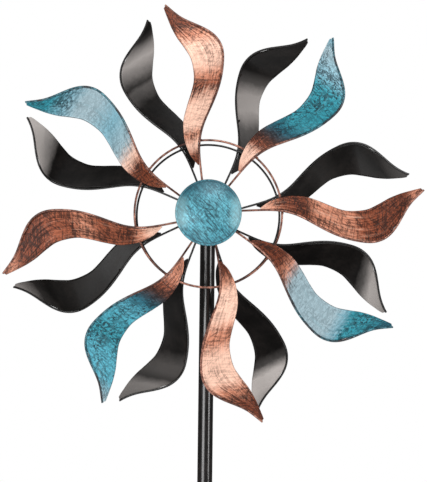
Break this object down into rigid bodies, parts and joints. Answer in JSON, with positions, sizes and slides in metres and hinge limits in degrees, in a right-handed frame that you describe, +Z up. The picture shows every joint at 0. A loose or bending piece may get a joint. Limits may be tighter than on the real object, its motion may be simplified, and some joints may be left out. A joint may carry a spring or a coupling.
{
  "type": "kinetic wind sculpture",
  "caption": "Garden wind sculpture: two counter-swept flame-leaf rotors turn on one axle, with a domed cap, a slim dark pole and a pronged ground stake.",
  "frame": {"origin": "on the pole's axis at ground level, where the stake enters the ground", "axes": "+Z up along the pole; -Y is the front, where the cap faces; +X to the right seen from the front"},
  "size_m": [0.5956, 0.157, 1.8979],
  "materials": {
    "copper_patina": "brushed antique copper with dark streaks",
    "teal_patina": "satin teal patina with dark hatching, fading to copper at the root",
    "copper_wire": "satin antique copper brown",
    "espresso_black": "semi-gloss black-brown powder coat",
    "pole_black": "gloss dark brown-black powder coat",
    "bright_steel": "ground",
    "zinc_steel": "zinc plated",
    "black_plastic": "moulded"
  },
  "bodies": {
    "stand": {"axle": "bright_steel", "bearing_inner_rings": "bright_steel", "hub_spacers": "zinc_steel", "rear_spacer": "zinc_steel", "middle_spacer": "zinc_steel", "front_washer": "zinc_steel", "lock_nut": "zinc_steel", "rear_nut": "zinc_steel", "saddle_washers": "pole_black", "pole_plug": "black_plastic", "upper_pole": "pole_black", "middle_pole": "pole_black", "lower_pole": "pole_black", "pole_joiners": "zinc_steel", "joiner_screws": "zinc_steel", "stake_spigot": "zinc_steel", "step_plate": "pole_black", "stake_prongs": "pole_black"},
    "front_rotor": {"front_leaf_1": "copper_patina", "front_leaf_2": "teal_patina", "front_leaf_3": "copper_patina", "front_leaf_4": "teal_patina", "front_leaf_5": "copper_patina", "front_leaf_6": "teal_patina", "front_leaf_7": "copper_patina", "front_leaf_8": "teal_patina", "front_rod_1": "copper_wire", "front_rod_2": "copper_wire", "front_rod_3": "copper_wire", "front_rod_4": "copper_wire", "front_rod_5": "copper_wire", "front_rod_6": "copper_wire", "front_rod_7": "copper_wire", "front_rod_8": "copper_wire", "front_ring": "copper_wire", "front_hub": "espresso_black", "front_bearing_outer_rings": "bright_steel", "front_bearing_balls": "bright_steel", "front_cap": "teal_patina", "cap_carrier": "espresso_black"},
    "back_rotor": {"back_leaf_1": "espresso_black", "back_leaf_2": "espresso_black", "back_leaf_3": "espresso_black", "back_leaf_4": "espresso_black", "back_leaf_5": "espresso_black", "back_leaf_6": "espresso_black", "back_leaf_7": "espresso_black", "back_leaf_8": "espresso_black", "back_rod_1": "espresso_black", "back_rod_2": "espresso_black", "back_rod_3": "espresso_black", "back_rod_4": "espresso_black", "back_rod_5": "espresso_black", "back_rod_6": "espresso_black", "back_rod_7": "espresso_black", "back_rod_8": "espresso_black", "back_ring": "espresso_black", "back_hub": "espresso_black", "back_bearing_outer_rings": "bright_steel", "back_bearing_balls": "bright_steel"}
  },
  "joints": [
    {"name": "front_spin", "type": "hinge", "parent": "stand", "child": "front_rotor", "pos_m": [0, -0.097, 1.35], "axis": [0, 1, 0], "continuous": true},
    {"name": "back_spin", "type": "hinge", "parent": "stand", "child": "back_rotor", "pos_m": [0, -0.042, 1.35], "axis": [0, 1, 0], "continuous": true}
  ]
}
